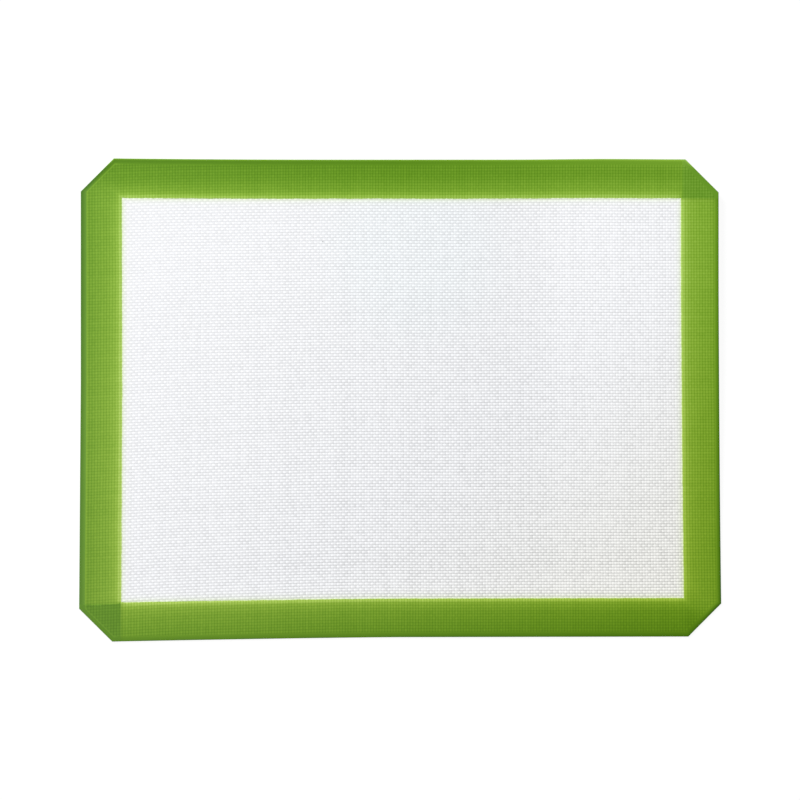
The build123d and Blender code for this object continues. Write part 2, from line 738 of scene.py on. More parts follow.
@dataclass
class Skin:
    """One of the two clear silicone skins, with the woven relief on its outer face.

    Attributes:
        table: where it is made.
        side: which face of the mat it is on.
        hidden: how far the relief runs on under the border.
        relief: depth of the gaps between the threads.
        flange_drop: how much lower the hidden rim lies, inside the border's coats.
        float_reach: how far the dip beside a weft crown is pushed towards the next warp thread, in threads.
        slack: how far a thread count may be off and still be taken as whole or half.
    """

    table: SheetTable
    side: Side
    hidden: float = 2.5 * MM
    relief: float = 0.09 * MM
    flange_drop: float = 0.03 * MM
    float_reach: float = 0.16
    slack: float = 0.1

    def model(self, name: str) -> Piece:
        """Models the skin.

        Args:
            name: the piece's name.

        Returns:
            The finished piece.
        """
        plan = self.table.plan
        area = plan.field.grown(self.hidden)
        piece = self.table.threads(name, area, 1)
        self.raise_crossings(piece)
        self.table.follow_threads(piece)
        cut_along(piece, area.cuts(), trim=True)
        self.add_flange(piece, area)
        inner = self.table.close(piece, plan.cloth, [])
        x, y, _ = places_of(piece).T
        hidden = smooth_step(plan.field.gap(x, y) / self.hidden)
        drop = self.relief * (1 - self.table.weave.crown(x, y)) * (1 - hidden) + self.flange_drop * hidden
        top, under = (plan.cloth_top, plan.skin_top), (plan.cloth_base, plan.bottom_skin)
        seat, face = top if self.side is Side.TOP else under
        self.table.finish(piece, np.where(inner, seat, face - self.side.value * drop))
        return piece

    def raise_crossings(self, piece: Piece) -> None:
        """Adds a point in each gap between threads and one in each dip along the weft.

        Args:
            piece: the open skin, placed by thread counts.
        """
        poke_faces(piece)
        places = places_of(piece)
        a, b = rows_of(piece.data.edges, "vertices", 2, int).T
        along_weft = np.abs(places[a, 1] - places[b, 1]) < self.slack
        with Editing(piece, Pick.EDGE, along_weft):
            bpy.ops.mesh.subdivide(number_cuts=1)
        places = places_of(piece)
        warp, weft, _ = places.T
        whole_weft = np.abs(weft - np.round(weft)) < self.slack
        half_warp = np.abs(np.abs(warp - np.round(warp)) - 0.5) < self.slack
        dips = whole_weft & half_warp
        left_is_over = np.cos(math.pi * (np.floor(warp) + np.round(weft)))
        places[dips, 0] += (self.float_reach * left_is_over)[dips]
        put_places(piece, places)

    def add_flange(self, piece: Piece, area: Rectangle) -> None:
        """Runs the skin on from the relief to the cloth's cut edge.

        Args:
            piece: the open skin.
            area: what its relief covers.
        """
        cloth = self.table.plan.cloth
        wider = [whole / part for whole, part in zip(cloth.size, area.size)]
        shift = [there - here for there, here in zip(cloth.middle, area.middle)]
        with Editing(piece, Pick.EDGE):
            select_boundary()
            bpy.ops.mesh.extrude_edges_move()
            bpy.ops.transform.resize(value=(*wider, 1.0), center_override=area.middle)
            bpy.ops.transform.translate(value=shift)
        cut_along(piece, cloth.cuts(), trim=True)


@dataclass
class GlassCloth:
    """The woven glass cloth inside the mat, which carries it."""

    table: SheetTable
    relief: float = 0.10 * MM

    def model(self, name: str) -> Piece:
        """Models the cloth.

        Args:
            name: the piece's name.

        Returns:
            The finished piece.
        """
        plan = self.table.plan
        piece = self.table.threads(name, plan.cloth, 1)
        poke_faces(piece)
        self.table.follow_threads(piece)
        cut_along(piece, plan.cloth.cuts(), trim=True)
        inner = self.table.close(piece, plan.cloth, [])
        x, y, _ = places_of(piece).T
        drop = self.relief * (1 - self.table.weave.crown(x, y))
        self.table.finish(piece, np.where(inner, plan.cloth_base, plan.cloth_top - drop))
        return piece


@dataclass
class BorderCoat:
    """Two arms of the green border on one face of the mat, as one coat.

    Attributes:
        table: where it is made.
        side: which face of the mat it is on.
        arms: which two arms it holds.
        relief: how deep the cloth's gaps show in its face.
        ragged: how much its thin inner edges vary, in waves of these three lengths.
        slant: how far the upright inner edges run out of line, per metre.
        held_back: how much further out an inner edge stays where it lies on the other coat.
        lip: how wide that edge is, lip_drop how much it thins there, and lap_lip what share of that it
            thins on the other coat.
        roll: how wide its rounded outer edge is, and roll_drop how far it rolls down.
        joggle: how wide the ramp is where it climbs over the other coat.
        foot: how far it reaches over the other coat's lip underneath, where it doesn't climb.
        bite: how far its inner face reaches into the skin, whose gaps it fills.
        overrun: how far the bare quarter runs off the mat.
        spare_threads: how many threads stay inside the coat before it is cut to its line.
    """

    table: SheetTable
    side: Side
    arms: Arms
    relief: float = 0.04 * MM
    ragged: float = 0.10 * MM
    waves: Triple = (2.9 * MM, 7.3 * MM, 23.0 * MM)
    slant: float = 0.0024
    held_back: float = 1.0 * MM
    lip: float = 1.3 * MM
    lip_drop: float = 0.085 * MM
    lap_lip: float = 0.25
    roll: float = 0.70 * MM
    roll_drop: float = 0.06 * MM
    joggle: float = 2.5 * MM
    foot: float = 0.8 * MM
    bite: float = 0.10 * MM
    overrun: float = 10 * MM
    spare_threads: int = 4

    @property
    def stops_short(self) -> bool:
        """Whether it stops short at the other coat, as one does underneath, so that the mat lies flat."""
        return self.side is Side.UNDER and self.arms is Arms.FRONT_RIGHT

    @property
    def climbs(self) -> bool:
        """Whether it climbs over the other coat."""
        return self.side is Side.TOP and self.arms is Arms.FRONT_RIGHT

    def bare(self) -> Rectangle:
        """The quarter that this coat leaves bare, which runs off the mat at two sides.

        Returns:
            The quarter.
        """
        bare, beyond = self.table.plan.bare(), self.table.plan.mat.grown(self.overrun)
        if self.arms is Arms.REAR_LEFT:
            return Rectangle(bare.left, beyond.right, beyond.front, bare.rear)
        return Rectangle(beyond.left, bare.right, bare.front, beyond.rear)

    def model(self, name: str) -> Piece:
        """Models the coat.

        Args:
            name: the piece's name.

        Returns:
            The finished piece.
        """
        table, mat, bare = self.table, self.table.plan.mat, self.bare()
        piece = table.threads(name, mat, 2)
        table.follow_threads(piece)
        drop_inside(piece, bare.grown(-self.spare_threads * table.weave.weft_pitch))
        cut_along(piece, mat.cuts() + self.stops(0.0), trim=True)
        cut_out(piece, bare)
        cut_along(piece, mat.drawn_in(self.roll).cuts() + self.lines(bare), trim=False)
        inner = table.close(piece, mat, self.stops(table.backing_inset), bare)
        heights = self.heights(piece, inner)
        self.fray(piece, bare)
        table.finish(piece, heights)
        return piece

    def stops(self, inset: float) -> list[Cut]:
        """Where the coat stops on the other coat's lip, if it does.

        Args:
            inset: how much sooner it stops.

        Returns:
            The cuts, none for a coat that runs on.
        """
        bare, foot = self.table.plan.bare(), self.foot - inset
        return [Cut.at_x(bare.left - foot, -1), Cut.at_y(bare.rear + foot)] if self.stops_short else []

    def lines(self, bare: Rectangle) -> list[Cut]:
        """Lines of edges where the thin lip ends and where the coat climbs over the other one.

        Args:
            bare: what the coat leaves bare.

        Returns:
            The lines.
        """
        lip, field = bare.grown(self.lip), self.table.plan.field
        if self.arms is Arms.REAR_LEFT:
            return [Cut.at_x(lip.left), Cut.at_y(lip.rear)]
        ramp = field.grown(-self.joggle)
        climb = [Cut.at_x(field.left), Cut.at_x(ramp.left), Cut.at_y(field.rear), Cut.at_y(ramp.rear)]
        return [Cut.at_x(lip.right), Cut.at_y(lip.front)] + (climb if self.climbs else [])

    def fray(self, piece: Piece, bare: Rectangle) -> None:
        """Makes the thin inner edge wander a little, since the silicone was printed through a mesh.

        Args:
            piece: the closed coat, flat so far.
            bare: what the coat leaves bare.
        """
        places = places_of(piece)
        x, y, _ = places.T
        share = 1 - smooth_step(bare.gap(x, y) / self.lip)
        for metres in self.waves:
            places[:, 0] += self.ragged * share * np.sin(2 * math.pi * y / metres) / 2
            places[:, 1] += self.ragged * share * np.sin(2 * math.pi * x / metres) / 2
        places[:, 0] -= self.slant * share * y
        if self.arms is Arms.FRONT_RIGHT:
            field = self.table.plan.field
            places[:, 1] -= self.held_back * share * smooth_step((field.left - x) / self.lip)
            places[:, 0] += self.held_back * share * smooth_step((y - field.rear) / self.lip)
        put_places(piece, places)

    def heights(self, piece: Piece, inner: Places) -> Places:
        """Works out the height of every point.

        Args:
            piece: the closed coat, flat so far.
            inner: which points are on its hidden inner face.

        Returns:
            The heights.
        """
        plan, weave = self.table.plan, self.table.weave
        x, y, _ = places_of(piece).T
        on_cloth = smooth_step(plan.cloth.depth(x, y) / weave.warp_pitch)
        thin = 1 - smooth_step(self.bare().gap(x, y) / self.lip)
        rolled = 1 - smooth_step(plan.mat.depth(x, y) / self.roll)
        climb = self.climb(x, y)
        thin *= 1 - (1 - self.lap_lip) * climb / (plan.lap_top - plan.coat_top)
        woven = self.relief * (1 - weave.crown(x, y)) * on_cloth * (1 - rolled)
        drop = woven + self.lip_drop * thin + self.roll_drop * rolled**2
        top, under = (plan.skin_top, plan.coat_top), (plan.bottom_skin, plan.under)
        seat, face = top if self.side is Side.TOP else under
        return np.where(inner, seat - self.side.value * self.bite, face - self.side.value * drop) + climb

    def climb(self, x: Places, y: Places) -> Places:
        """How much higher the coat lies where it laps over the other one.

        Args:
            x, y: places on the mat before it is laid down.

        Returns:
            The extra height of each point.
        """
        if not self.climbs:
            return np.zeros(len(x))
        plan, field = self.table.plan, self.table.plan.field
        front_left = smooth_step((field.left + self.joggle - x) / self.joggle)
        rear_right = smooth_step((y - field.rear + self.joggle) / self.joggle)
        return (plan.lap_top - plan.coat_top) * np.maximum(front_left, rear_right)


@dataclass
class SealedRim:
    """The rim of plain silicone round the cloth's cut edge, a half-round bead on the outside.

    Attributes:
        table: where it is made.
        bulge: how far the bead stands out past the coats.
        steps: how many points it has along each of the mat's eight sides.
        turns: how many points round the bead.
        weld: how near to each other two points have to be to become one.
    """

    table: SheetTable
    bulge: float = 0.12 * MM
    steps: int = 48
    turns: int = 7
    weld: float = 0.001 * MM

    def section(self) -> list[Triple]:
        """The rim's section, once round.

        Returns:
            For each corner, its share of the way from the cloth's edge to the outline, how far it stands
            out past the outline, and its height.
        """
        low, high = self.table.plan.bottom_skin, self.table.plan.skin_top
        bead = []
        for turn in range(self.turns):
            angle = math.pi * turn / (self.turns - 1)
            height = (low + high) / 2 - (high - low) / 2 * math.cos(angle)
            bead.append((1.0, self.bulge * math.sin(angle), height))
        return [(0.0, 0.0, low), *bead, (0.0, 0.0, high)]

    def model(self, name: str) -> Piece:
        """Models the rim.

        Args:
            name: the piece's name.

        Returns:
            The finished piece.
        """
        plan, section = self.table.plan, self.section()
        around = 8 * self.steps
        piece = add_grid(name, around, len(section))
        unit = places_of(piece) + 0.5
        column = np.round(unit[:, 0] * around).astype(int) % around
        row = np.round(unit[:, 1] * len(section)).astype(int) % len(section)
        share, out, height = np.array(section)[row].T
        inside, outside = plan.cloth.ring(self.steps)[column], plan.mat.ring(self.steps)[column]
        further = plan.mat.drawn_in(-MM).ring(self.steps)[column] - outside
        flat = inside + (outside - inside) * share[:, None] + further * (out / MM)[:, None]
        put_places(piece, np.column_stack([flat, height]))
        with Editing(piece, Pick.VERTEX):
            bpy.ops.mesh.select_all(action="SELECT")
            bpy.ops.mesh.remove_doubles(threshold=self.weld)
        self.table.finish(piece, places_of(piece)[:, 2])
        return piece


class Board:
    """Lays out and wires the nodes of one material, world or group."""

    per_row = 12
    spacing = 220

    def __init__(self, tree: Tree) -> None:
        """Starts on a tree with nothing placed."""
        self.tree = tree
        self.placed = 0

    def add(self, kind: str, *inputs: Value, **settings: object) -> Node:
        """Places a node.

        Args:
            kind: the node's type.
            inputs: what its first inputs get, in order.
            settings: its properties.

        Returns:
            The node.
        """
        node = self.tree.nodes.new(kind)
        row, column = divmod(self.placed, self.per_row)
        node.location = (self.spacing * column, -self.spacing * row)
        self.placed += 1
        for name, value in settings.items():
            setattr(node, name, value)
        for socket, value in zip(node.inputs, inputs):
            self.feed(socket, value)
        return node

    def feed(self, socket: Socket, value: Value) -> None:
        """Wires a socket, or sets it to a plain value.

        Args:
            socket: the socket.
            value: the output that it is wired to, or the plain value.
        """
        if isinstance(value, Socket):
            self.tree.links.new(value, socket)
        else:
            socket.default_value = value

    def feed_all(self, sockets: Sockets, **values: Value) -> None:
        """Feeds sockets by name, with underscores for spaces."""
        for name, value in values.items():
            self.feed(sockets[name.replace("_", " ")], value)

    def math(self, operation: str, *values: Value) -> Socket:
        """Works out one number."""
        return self.add("ShaderNodeMath", *values, operation=operation).outputs[0]

    def chain(self, operation: str, first: Value, *others: Value) -> Value:
        """Takes numbers together one after the other.

        Args:
            operation: how two of them are taken together.
            first, others: the numbers.

        Returns:
            The result.
        """
        for other in others:
            first = self.math(operation, first, other)
        return first

    def sum(self, *values: Value) -> Socket:
        """Adds numbers up."""
        return self.chain("ADD", *values)

    def minus(self, value: Value, less: Value) -> Socket:
        """Takes one number from another."""
        return self.math("SUBTRACT", value, less)

    def times(self, *values: Value) -> Socket:
        """Multiplies numbers."""
        return self.chain("MULTIPLY", *values)

    def most(self, *values: Value) -> Socket:
        """The largest of some numbers."""
        return self.chain("MAXIMUM", *values)

    def line(self, value: Value, slope: Value, start: Value) -> Socket:
        """Multiplies a number by a slope and adds a start."""
        return self.math("MULTIPLY_ADD", value, slope, start)

    def less(self, share: Value, by: float) -> Socket:
        """One, less a share times a number."""
        return self.line(share, -by, 1.0)

    def about_nought(self, share: Socket, depth: float) -> Socket:
        """Turns a number from 0 to 1 into one from minus to plus half a depth."""
        return self.line(share, depth, -depth / 2)

    def constant(self, value: float) -> Socket:
        """A plain number as a socket.

        Args:
            value: the number.

        Returns:
            Its socket.
        """
        node = self.add("ShaderNodeValue")
        node.outputs[0].default_value = value
        return node.outputs[0]

    def split(self, vector: Socket) -> tuple[Socket, Socket]:
        """Takes a vector's first two numbers apart."""
        outputs = self.add("ShaderNodeSeparateXYZ", vector).outputs
        return outputs[0], outputs[1]

    def ease(self, value: Value, low: float, high: float, start: float = 0.0, end: float = 1.0) -> Socket:
        """Eases from start to end while a number goes from low to high."""
        return self.ranged("SMOOTHSTEP", value, low, high, start, end)

    def run(self, value: Value, low: float, high: float, start: Value, end: Value) -> Socket:
        """Goes in a straight line from start to end while a number goes from low to high."""
        return self.ranged("LINEAR", value, low, high, start, end)

    def ranged(self, way: str, *given: Value) -> Socket:
        """Maps a number from one range to another, with both ranges in the node's own order."""
        return self.add("ShaderNodeMapRange", *given, interpolation_type=way).outputs[0]

    def fade(self, distance: Socket, over: float) -> Socket:
        """Falls from 1 towards 0 with distance, as an exponential."""
        return self.math("EXPONENT", self.times(distance, -1.0 / over))

    def blend(self, share: Value, first: Value, second: Value) -> Socket:
        """Mixes two colours.

        Args:
            share: how much of the second there is.
            first, second: the colours.

        Returns:
            The mixed colour.
        """
        node = self.add("ShaderNodeMix", data_type="RGBA")
        self.feed(node.inputs["Factor"], share)
        for socket, colour in zip([s for s in node.inputs if s.type == "RGBA"], (first, second)):
            self.feed(socket, colour)
        return next(s for s in node.outputs if s.type == "RGBA")

    def scaled(self, vector: Socket, scale: Value) -> Socket:
        """Multiplies the three parts of a vector or colour by three numbers."""
        return self.add("ShaderNodeVectorMath", vector, scale, operation="MULTIPLY").outputs[0]

    def tinted(self, colour: Socket, red: Value, green: Value, blue: Value) -> Socket:
        """Multiplies a colour's red, green and blue by a number each."""
        return self.scaled(colour, self.add("ShaderNodeCombineXYZ", red, green, blue).outputs[0])

    def levelled(self, colour: Colour, level: Socket) -> Socket:
        """Multiplies a plain colour by one number.

        Args:
            colour: the colour.
            level: the number.

        Returns:
            The result.
        """
        node = self.add("ShaderNodeVectorMath", colour[:3], operation="SCALE")
        self.feed_all(node.inputs, Scale=level)
        return node.outputs[0]

    def noise(self, vector: Socket, per_metre: float, detail: float = 3.0) -> Socket:
        """Cloudy noise of about 0.5.

        Args:
            vector: where to read it, in metres.
            per_metre: how many clouds there are to a metre.
            detail: how many finer layers it has.

        Returns:
            The noise.
        """
        node = self.add("ShaderNodeTexNoise")
        self.feed_all(node.inputs, Vector=vector, Scale=per_metre, Detail=detail)
        return node.outputs[0]

    def of_thread(self, count: Socket, seed: float) -> Socket:
        """A number from 0 to 1 that differs from one thread to the next.

        Args:
            count: the thread's count.
            seed: where its numbers start.

        Returns:
            The number.
        """
        node = self.add("ShaderNodeTexWhiteNoise", noise_dimensions="1D")
        self.feed_all(node.inputs, W=self.sum(count, seed))
        return node.outputs[0]

    def kept(self, name: str) -> Socket:
        """Reads a vector that the mesh keeps on its points."""
        node = self.add("ShaderNodeAttribute", attribute_type="GEOMETRY", attribute_name=name)
        return node.outputs["Vector"]

    def use(self, group: Tree, **inputs: Value) -> Sockets:
        """Places a shared group.

        Args:
            group: the group.
            inputs: values for its inputs, by name with underscores for spaces.

        Returns:
            Its outputs.
        """
        node = self.add("ShaderNodeGroup", node_tree=group)
        self.feed_all(node.inputs, **inputs)
        return node.outputs


def new_group(name: str, inputs: dict[str, str], outputs: dict[str, str]) -> tuple[Board, Sockets, Sockets]:
    """Starts a shared node group.

    Args:
        name: the group's name.
        inputs, outputs: socket names and their types.

    Returns:
        The board, what the group is given and what it has to give.
    """
    tree = bpy.data.node_groups.new(name, "ShaderNodeTree")
    for way, sockets in (("INPUT", inputs), ("OUTPUT", outputs)):
        for label, kind in sockets.items():
            tree.interface.new_socket(name=label, in_out=way, socket_type=kind)
    board = Board(tree)
    return board, board.add("NodeGroupInput").outputs, board.add("NodeGroupOutput").inputs


@dataclass(frozen=True)
class ThreadPrint:
    """The weave as it shows through silicone: crowns, gaps and the small differences between threads.

    Attributes:
        weave: the cloth's threads.
        thread_seed: where the numbers for each thread start.
        knuckle_power: how narrow the bright tops of the weft threads are, and dip how dark they get where
            the thread goes under.
        gap_power: how narrow the gaps between threads are.
    """

    weave: Weave
    thread_seed: float = 17.0
    knuckle_power: float = 4.0
    dip: float = 0.4
    gap_power: float = 2.5

    def group(self) -> Tree:
        """Builds the group.

        Returns:
            A group that takes thread counts and gives the face's height, the tops of the weft threads, the
            gaps beside the warp and weft threads, a number for each thread and one for each crossing.
        """
        labels = ("Height", "Knuckle", "Warp gap", "Weft gap", "Slub", "Knot")
        board, given, result = new_group("thread_print", {"Threads": VECTOR}, dict.fromkeys(labels, FLOAT))
        warp, weft = board.split(given["Threads"])
        near_warp, near_weft = board.math("ROUND", warp), board.math("ROUND", weft)
        off_warp, off_weft = board.minus(warp, near_warp), board.minus(weft, near_weft)
        over = self.wave(board, board.sum(near_warp, near_weft))
        weft_wave = board.times(self.wave(board, off_warp), over)
        warp_wave = board.times(self.wave(board, off_weft), over, self.weave.warp_crimp)
        weft_back = self.hump(board, off_weft, self.weave.weft_round)
        weft_face = board.sum(board.times(weft_wave, self.weave.weft_crimp), weft_back)
        warp_face = board.minus(self.hump(board, off_warp, self.weave.warp_round), warp_wave)
        top = board.math("POWER", self.hump(board, off_weft, 1.0), self.knuckle_power)
        seeds = self.thread_seed, 2 * self.thread_seed
        by_thread = board.sum(board.of_thread(near_warp, seeds[0]), board.of_thread(near_weft, seeds[1]))
        knot = board.add("ShaderNodeTexWhiteNoise", noise_dimensions="2D")
        board.feed_all(knot.inputs, Vector=board.add("ShaderNodeCombineXYZ", near_warp, near_weft).outputs[0])
        board.feed_all(
            result,
            Height=board.most(weft_face, warp_face),
            Knuckle=board.times(top, board.most(weft_wave, -self.dip)),
            Warp_gap=self.gap(board, off_warp),
            Weft_gap=self.gap(board, off_weft),
            Slub=board.times(by_thread, 0.5),
            Knot=knot.outputs[0],
        )
        return board.tree

    def wave(self, board: Board, count: Socket) -> Socket:
        """The cosine of half a turn for each thread."""
        return board.math("COSINE", board.times(count, math.pi))

    def hump(self, board: Board, off: Socket, height: float) -> Socket:
        """A thread's round back, as high as given on its middle and 0 at its sides."""
        return board.line(board.times(off, off), -4.0 * height, height)

    def gap(self, board: Board, off: Socket) -> Socket:
        """Rises from 0 on a thread's middle to 1 between it and the next."""
        return board.math("POWER", board.times(board.math("ABSOLUTE", off), 2.0), self.gap_power)


@dataclass(frozen=True)
class PlanRuler:
    """Distances on the mat that the finishes follow."""

    plan: MatPlan

    def group(self) -> Tree:
        """Builds the group.

        Returns:
            A group that takes a place on the mat and gives, in metres, how far it is past each of the
            coats' inner edges, how far inside the outline and how far inside the cloth's edge.
        """
        labels = ("Past left", "Past right", "Past front", "Past rear", "From outline", "In cloth")
        board, given, result = new_group("plan_ruler", {"Plan": VECTOR}, dict.fromkeys(labels, FLOAT))
        x, y = board.split(given["Plan"])
        distances = (
            *self.past_sides(board, x, y, self.plan.bare()),
            self.depth(board, x, y, self.plan.mat),
            self.depth(board, x, y, self.plan.cloth),
        )
        for label, distance in zip(labels, distances):
            board.feed(result[label], distance)
        return board.tree

    def past_sides(self, board: Board, x: Socket, y: Socket, box: Rectangle) -> list[Socket]:
        """How far a point lies past the left, right, front and rear side of a rectangle."""
        pairs = ((box.left, x), (x, box.right), (box.front, y), (y, box.rear))
        return [board.minus(near, far) for near, far in pairs]

    def depth(self, board: Board, x: Socket, y: Socket, outline: Outline) -> Socket:
        """How far a point lies inside an outline's nearest side.

        Args:
            board: the group's board.
            x, y: the place on the mat.
            outline: the outline.

        Returns:
            The distance.
        """
        past_cut = board.sum(board.math("ABSOLUTE", x), board.math("ABSOLUTE", y), -outline.corner)
        outside = board.most(*self.past_sides(board, x, y, outline), board.times(past_cut, 1 / DIAGONAL))
        return board.times(outside, -1.0)


@dataclass(frozen=True)
class GreenScale:
    """The greens of the translucent silicone over white cloth, from thick to thin.

    Attributes:
        stops: colours by their paleness, which is how much green light they return.
        cool: what a fully cool green's red, green and blue are multiplied by.
    """

    stops: tuple[tuple[float, Triple], ...] = (
        (0.15, (0.052, 0.150, 0.0034)),
        (0.23, (0.096, 0.230, 0.0077)),
        (0.29, (0.132, 0.290, 0.0130)),
        (0.37, (0.195, 0.370, 0.0262)),
        (0.45, (0.262, 0.450, 0.0435)),
        (0.51, (0.315, 0.510, 0.069)),
        (0.60, (0.402, 0.600, 0.108)),
        (0.74, (0.560, 0.740, 0.220)),
    )
    cool: Triple = (0.95, 1.0, 2.3)

    def group(self) -> Tree:
        """Builds the group.

        Returns:
            A group that takes a paleness and a coolness from 0 to 1 and gives the colour.
        """
        inputs = {"Paleness": FLOAT, "Coolness": FLOAT}
        board, given, result = new_group("green_scale", inputs, {"Color": COLOUR})
        low, high = self.stops[0][0], self.stops[-1][0]
        ramp = board.add("ShaderNodeValToRGB", board.run(given["Paleness"], low, high, 0.0, 1.0))
        band = ramp.color_ramp
        while len(band.elements) < len(self.stops):
            band.elements.new(0.5)
        for element, (paleness, colour) in zip(band.elements, self.stops):
            element.position = (paleness - low) / (high - low)
            element.color = (*colour, 1.0)
        cooled = board.scaled(ramp.outputs[0], self.cool)
        board.feed(result["Color"], board.blend(given["Coolness"], ramp.outputs[0], cooled))
        return board.tree


@dataclass(frozen=True)
class Yellowing:
    """The faint warm tint that the silicone has taken on in its front right corner.

    Attributes:
        plan: the mat's sizes.
        start, full: where it begins and where it is complete, on a scale that is 0 in the mat's middle and
            2 in the corner.
        red: how much redder it makes a colour.
    """

    plan: MatPlan
    start: float = 0.3
    full: float = 2.1
    red: float = 0.015

    def group(self) -> Tree:
        """Builds the group.

        Returns:
            A group that takes a colour, a place on the mat and how much blue is lost, and gives the tinted
            colour.
        """
        inputs = {"Color": COLOUR, "Plan": VECTOR, "Blue lost": FLOAT}
        board, given, result = new_group("yellowing", inputs, {"Color": COLOUR})
        x, y = board.split(given["Plan"])
        mat = self.plan.mat
        reach = board.sum(board.math("DIVIDE", x, mat.right), board.math("DIVIDE", y, mat.front))
        share = board.ease(reach, self.start, self.full)
        blue = board.minus(1.0, board.times(share, given["Blue lost"]))
        board.feed(result["Color"], board.tinted(given["Color"], board.line(share, self.red, 1.0), 1.0, blue))
        return board.tree


@dataclass(frozen=True)
class Finishes:
    """What the materials share: the mat's sizes and the node groups."""

    plan: MatPlan
    threads: Tree
    ruler: Tree
    greens: Tree
    yellowing: Tree

    @classmethod
    def build(cls, plan: MatPlan, weave: Weave) -> "Finishes":
        """Builds each group once."""
        groups = (ThreadPrint(weave), PlanRuler(plan), GreenScale(), Yellowing(plan))
        return cls(plan, *(maker.group() for maker in groups))


class FinishBoard(Board):
    """The board of one material, with the places and distances that the finishes read, each laid out once."""

    def __init__(self, name: str, shared: Finishes, roughness: float, specular: float) -> None:
        """Starts a material with a Principled shader.

        Args:
            name: its name.
            shared: what the materials share.
            roughness, specular: how matt the surface is and how much it reflects.
        """
        self.material = bpy.data.materials.new(name)
        self.material.use_nodes = True
        super().__init__(self.material.node_tree)
        self.shared = shared
        self.shader = next(n for n in self.tree.nodes if n.type == "BSDF_PRINCIPLED").inputs
        self.feed_all(self.shader, Roughness=roughness, Specular_IOR_Level=specular)

    @cached_property
    def plan(self) -> Socket:
        """The place on the mat before it is laid down."""
        return self.kept(PLAN)

    @cached_property
    def place(self) -> tuple[Socket, Socket]:
        """That place's x and y."""
        return self.split(self.plan)

    @cached_property
    def ruler(self) -> Sockets:
        """The distances on the mat."""
        return self.use(self.shared.ruler, Plan=self.plan)

    @cached_property
    def weave(self) -> Sockets:
        """The threads."""
        return self.use(self.shared.threads, Threads=self.kept(THREADS))

    def past_edge(self, arms: Arms) -> Socket:
        """How far a point lies past the inner edge of one of the two coats."""
        sides = ("rear", "left") if arms is Arms.REAR_LEFT else ("front", "right")
        return self.most(*(self.ruler[f"Past {side}"] for side in sides))

    def green(self, paleness: Value, coolness: Value) -> Socket:
        """The silicone's green."""
        return self.use(self.shared.greens, Paleness=paleness, Coolness=coolness)["Color"]

    def yellowed(self, colour: Socket, blue_lost: float) -> Socket:
        """A colour with the silicone's warm tint in its front right corner."""
        return self.use(self.shared.yellowing, Color=colour, Plan=self.plan, Blue_lost=blue_lost)["Color"]

    def bump(self, height: Socket, depth: float) -> None:
        """Gives the shader a bumped normal.

        Args:
            height: the bumps, 1 at their tops.
            depth: how deep that is.
        """
        node = self.add("ShaderNodeBump")
        self.feed_all(node.inputs, Strength=1.0, Distance=depth, Height=height)
        self.feed(self.shader["Normal"], node.outputs[0])

    def coloured(self, colour: Socket) -> bpy.types.Material:
        """Gives the shader its colour and hands over the material."""
        self.feed(self.shader["Base Color"], colour)
        return self.material


@dataclass(frozen=True)
class Speck:
    """A tiny dark speck caught under the clear silicone."""

    x: float
    y: float
    radius: float
    depth: float


